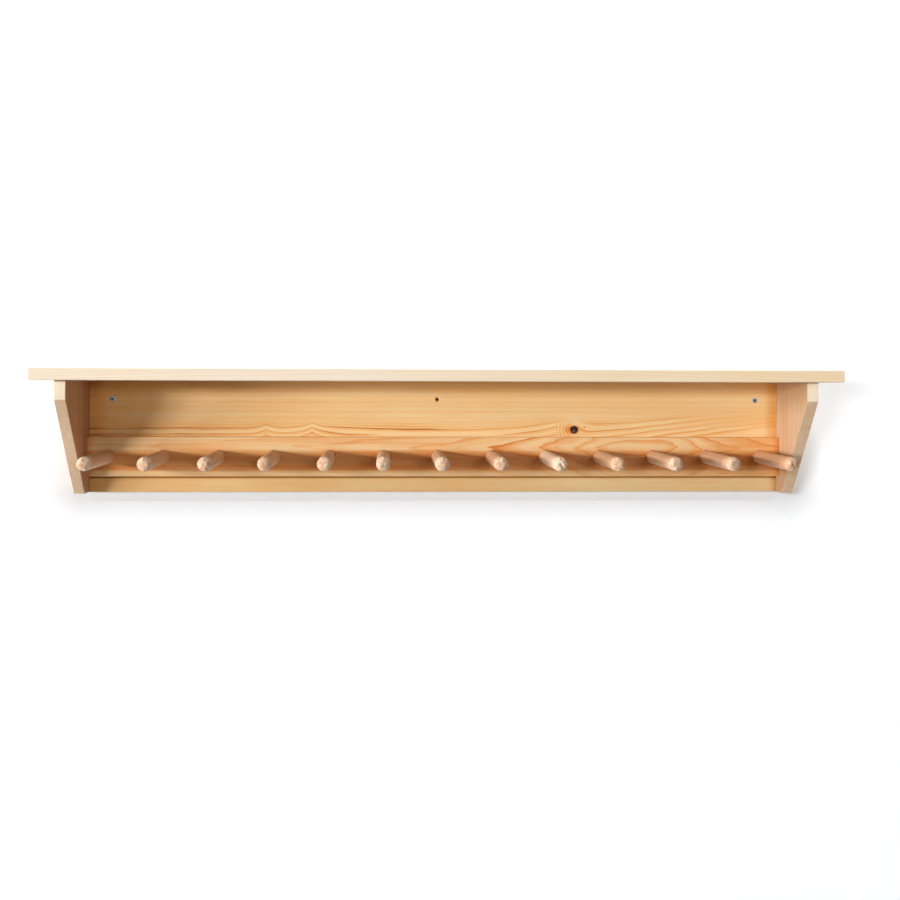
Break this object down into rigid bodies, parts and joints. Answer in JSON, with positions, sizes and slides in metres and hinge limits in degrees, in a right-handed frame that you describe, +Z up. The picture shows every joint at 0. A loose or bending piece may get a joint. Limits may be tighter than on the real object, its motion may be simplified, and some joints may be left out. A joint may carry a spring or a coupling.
{
  "type": "boot rack",
  "caption": "Wall-hung boot rack: a pine shelf on sloped end brackets over a back board with a rail of long round pegs, between which boots hang soles up.",
  "frame": {"origin": "middle of the back board's wall face, half way up and half way along", "axes": "+X along the rack to the right as seen from the room, +Y into the wall, +Z up; the pegs point along -Y"},
  "size_m": [1.246, 0.2503, 0.2023],
  "materials": {
    "shelf_pine": "sanded, clear oiled",
    "bracket_pine": "sanded, clear oiled",
    "back_pine": "sanded, clear oiled",
    "rail_pine": "sanded, clear oiled",
    "peg_wood": "turned, clear oiled",
    "dowel_wood": "bare",
    "zinc": "zinc plated"
  },
  "bodies": {
    "root": {"shelf_board": "shelf_pine", "left_bracket": "bracket_pine", "right_bracket": "bracket_pine", "back_board": "back_pine", "peg_rail": "rail_pine", "peg_01": "peg_wood", "peg_02": "peg_wood", "peg_03": "peg_wood", "peg_04": "peg_wood", "peg_05": "peg_wood", "peg_06": "peg_wood", "peg_07": "peg_wood", "peg_08": "peg_wood", "peg_09": "peg_wood", "peg_10": "peg_wood", "peg_11": "peg_wood", "peg_12": "peg_wood", "peg_13": "peg_wood", "shelf_dowel_left_1": "dowel_wood", "shelf_dowel_left_2": "dowel_wood", "shelf_dowel_right_1": "dowel_wood", "shelf_dowel_right_2": "dowel_wood", "shelf_dowel_back_1": "dowel_wood", "shelf_dowel_back_2": "dowel_wood", "shelf_dowel_back_3": "dowel_wood", "shelf_dowel_back_4": "dowel_wood", "shelf_dowel_back_5": "dowel_wood", "end_dowel_left_1": "dowel_wood", "end_dowel_left_2": "dowel_wood", "end_dowel_left_3": "dowel_wood", "end_dowel_right_1": "dowel_wood", "end_dowel_right_2": "dowel_wood", "end_dowel_right_3": "dowel_wood", "wall_screw_left": "zinc", "wall_screw_right": "zinc"}
  },
  "joints": []
}
